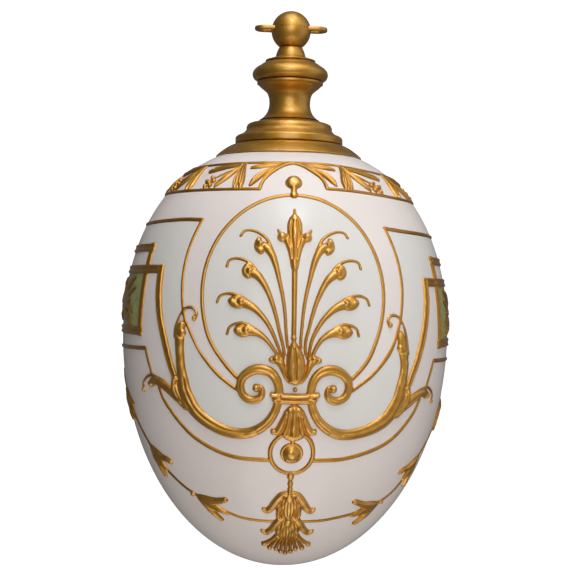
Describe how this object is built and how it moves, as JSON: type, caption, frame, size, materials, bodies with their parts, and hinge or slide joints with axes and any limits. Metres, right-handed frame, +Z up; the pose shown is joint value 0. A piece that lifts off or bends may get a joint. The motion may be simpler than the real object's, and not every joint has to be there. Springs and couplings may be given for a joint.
{
  "type": "hanging porcelain easter egg",
  "caption": "Hollow porcelain egg with raised gilt neoclassical ornament, pointed end down, hung from a turned brass finial whose ball carries a hanging eye on either side.",
  "frame": {"origin": "midway between the two hanging eyes, just above the centre of the ball", "axes": "+Z up along the egg's axis, the palmette face toward -Y, the eyes along X"},
  "size_m": [0.095, 0.0952, 0.1581],
  "materials": {
    "porcelain": "gloss glaze, pale lilac white and pale celadon grounds",
    "gilding": "burnished raised gold",
    "brass": "satin lacquered brass",
    "steel": "plain",
    "leather": "matt"
  },
  "bodies": {
    "hanger": {"ball_upper": "brass", "ball_lower": "brass", "eye_bar": "brass"},
    "egg": {"tie_rod": "steel", "neck_collar": "brass", "knop_ring": "brass", "baluster": "brass", "base_disc": "brass", "flange_cap": "brass", "seat_washer": "leather", "egg_shell": "porcelain", "toggle_bar": "steel", "clamp_nut": "steel", "shoulder_band": "gilding", "scroll_frame_front": "gilding", "scroll_frame_back": "gilding", "palmette_front": "gilding", "palmette_back": "gilding", "festoon_front": "gilding", "festoon_back": "gilding", "panel_frame_right": "gilding", "panel_frame_left": "gilding", "panel_rosette_right": "gilding", "panel_rosette_left": "gilding"}
  },
  "joints": [
    {"name": "hanger_swivel", "type": "hinge", "parent": "hanger", "child": "egg", "pos_m": [0, 0, 0], "axis": [0, 0, 1], "continuous": true}
  ]
}
